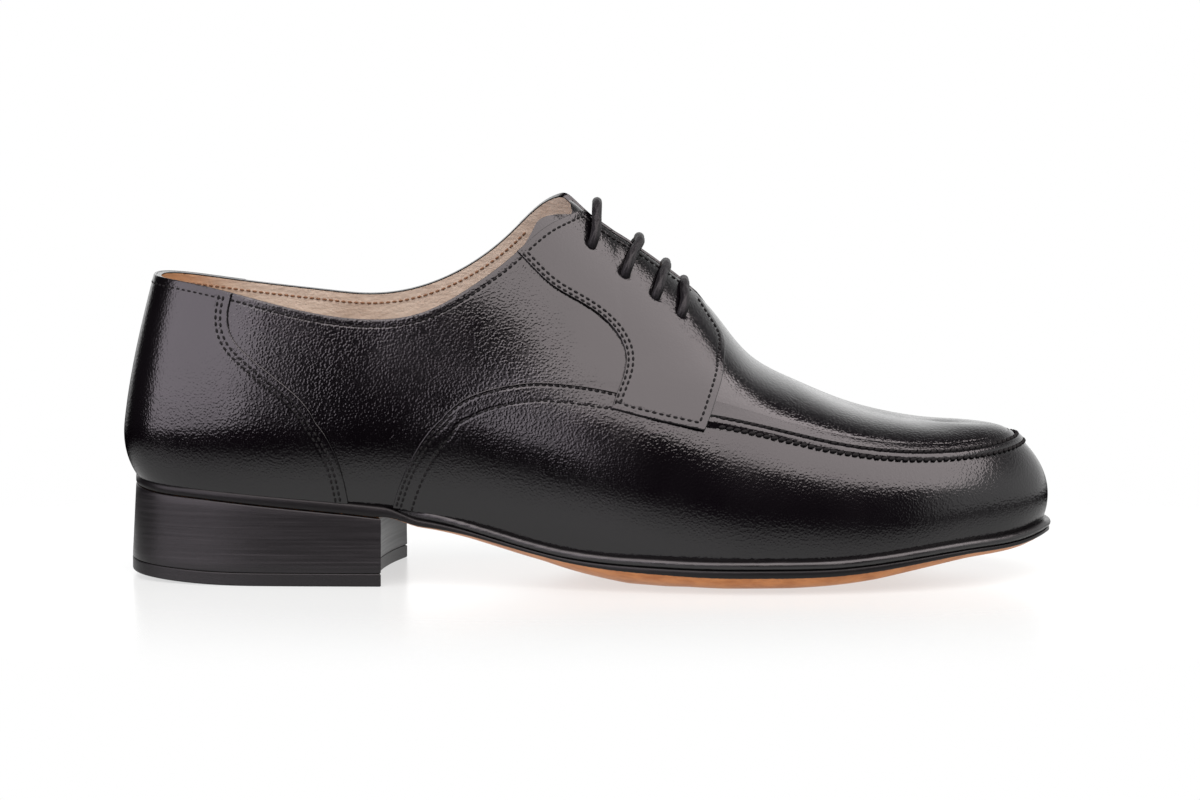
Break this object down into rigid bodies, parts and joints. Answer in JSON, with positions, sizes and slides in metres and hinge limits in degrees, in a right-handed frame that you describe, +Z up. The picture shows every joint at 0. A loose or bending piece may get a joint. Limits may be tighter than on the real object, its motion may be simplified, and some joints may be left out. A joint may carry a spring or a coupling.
{
  "type": "leather shoe",
  "caption": "Right black leather derby shoe with a raised apron seam at the toe, laid-on facings and heel counter, laced front, leather sole and low stacked heel.",
  "frame": {"origin": "on the floor, under the middle of the shoe's box", "axes": "+X towards the toe, +Y towards the inner side of this right shoe, +Z up"},
  "size_m": [0.3016, 0.1, 0.1223],
  "materials": {
    "black_leather": "semi-gloss, fine pebbled grain",
    "sock_leather": "matt natural leather",
    "black_edge": "waxed, glossy",
    "sole_leather": "smooth natural sole leather",
    "heel_black": "painted and waxed, glossy",
    "lift_rubber": "matt",
    "waxed_cord": "waxed round cord"
  },
  "bodies": {
    "root": {"upper": "black_leather", "facing_lateral": "black_leather", "facing_medial": "black_leather", "counter": "black_leather", "tongue": "black_leather", "insole": "sock_leather", "welt": "black_edge", "outsole": "sole_leather", "heel_stack": "heel_black", "heel_top_piece": "lift_rubber", "lace_bar_1": "waxed_cord", "lace_bar_2": "waxed_cord", "lace_bar_3": "waxed_cord", "lace_bar_4": "waxed_cord"}
  },
  "joints": []
}
